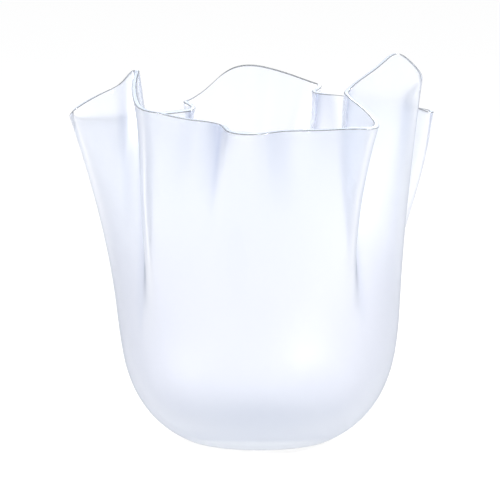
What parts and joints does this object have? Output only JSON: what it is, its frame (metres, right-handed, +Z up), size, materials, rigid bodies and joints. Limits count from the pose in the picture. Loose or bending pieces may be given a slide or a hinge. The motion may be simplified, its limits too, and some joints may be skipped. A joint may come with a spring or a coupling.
{
  "type": "handkerchief vase",
  "caption": "Free-standing blown satin-glass vase with a round bowl and a tall wall drawn up into loose, uneven folds like a held-up handkerchief.",
  "frame": {"origin": "centre of the flat foot, on the surface the vase stands on", "axes": "+Z up along the bowl's axis, -Y towards the front panel with the centre pleat, +X towards the right flap"},
  "size_m": [0.2571, 0.2483, 0.2691],
  "materials": {
    "satin_glass": "satin, nearly clear with a faint cool tint, fire-polished at the lip"
  },
  "bodies": {
    "root": {"vase": "satin_glass"}
  },
  "joints": []
}
